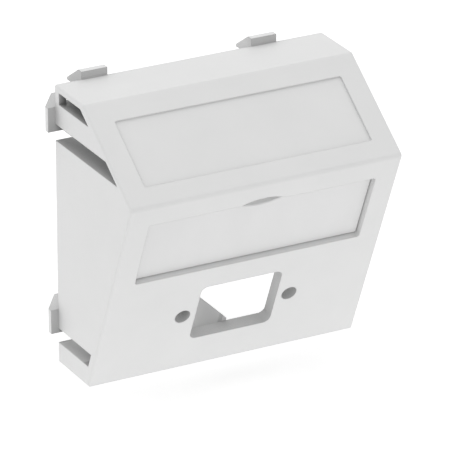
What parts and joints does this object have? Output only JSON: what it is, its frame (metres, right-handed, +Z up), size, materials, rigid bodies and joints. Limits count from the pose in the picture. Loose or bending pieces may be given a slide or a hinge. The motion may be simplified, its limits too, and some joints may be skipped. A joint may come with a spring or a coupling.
{
  "type": "slanted fibre coupler module frame",
  "caption": "Square snap-in outlet module with a sloping front, a coupler opening between screw holes and a label window under a lift-off cover",
  "frame": {"origin": "centre of the module in the plane of its rear rim, where it seats on the mounting frame", "axes": "+Z up, +X to the right seen from the front, the sloping front looks towards -Y and the snap hooks stand behind the rear rim towards +Y"},
  "size_m": [0.0474, 0.0295, 0.0474],
  "materials": {
    "housing_plastic": "fine satin moulded white plastic",
    "label_paper": "plain white card",
    "cover_plastic": "smooth pale translucent plastic"
  },
  "bodies": {
    "frame": {"housing": "housing_plastic", "label_strip": "label_paper"},
    "cover": {"label_cover": "cover_plastic"}
  },
  "joints": [
    {"name": "label_cover_lift", "type": "slide", "parent": "frame", "child": "cover", "axis": [0, -0.9179, -0.3968], "range_m": [0, 0.012]}
  ]
}
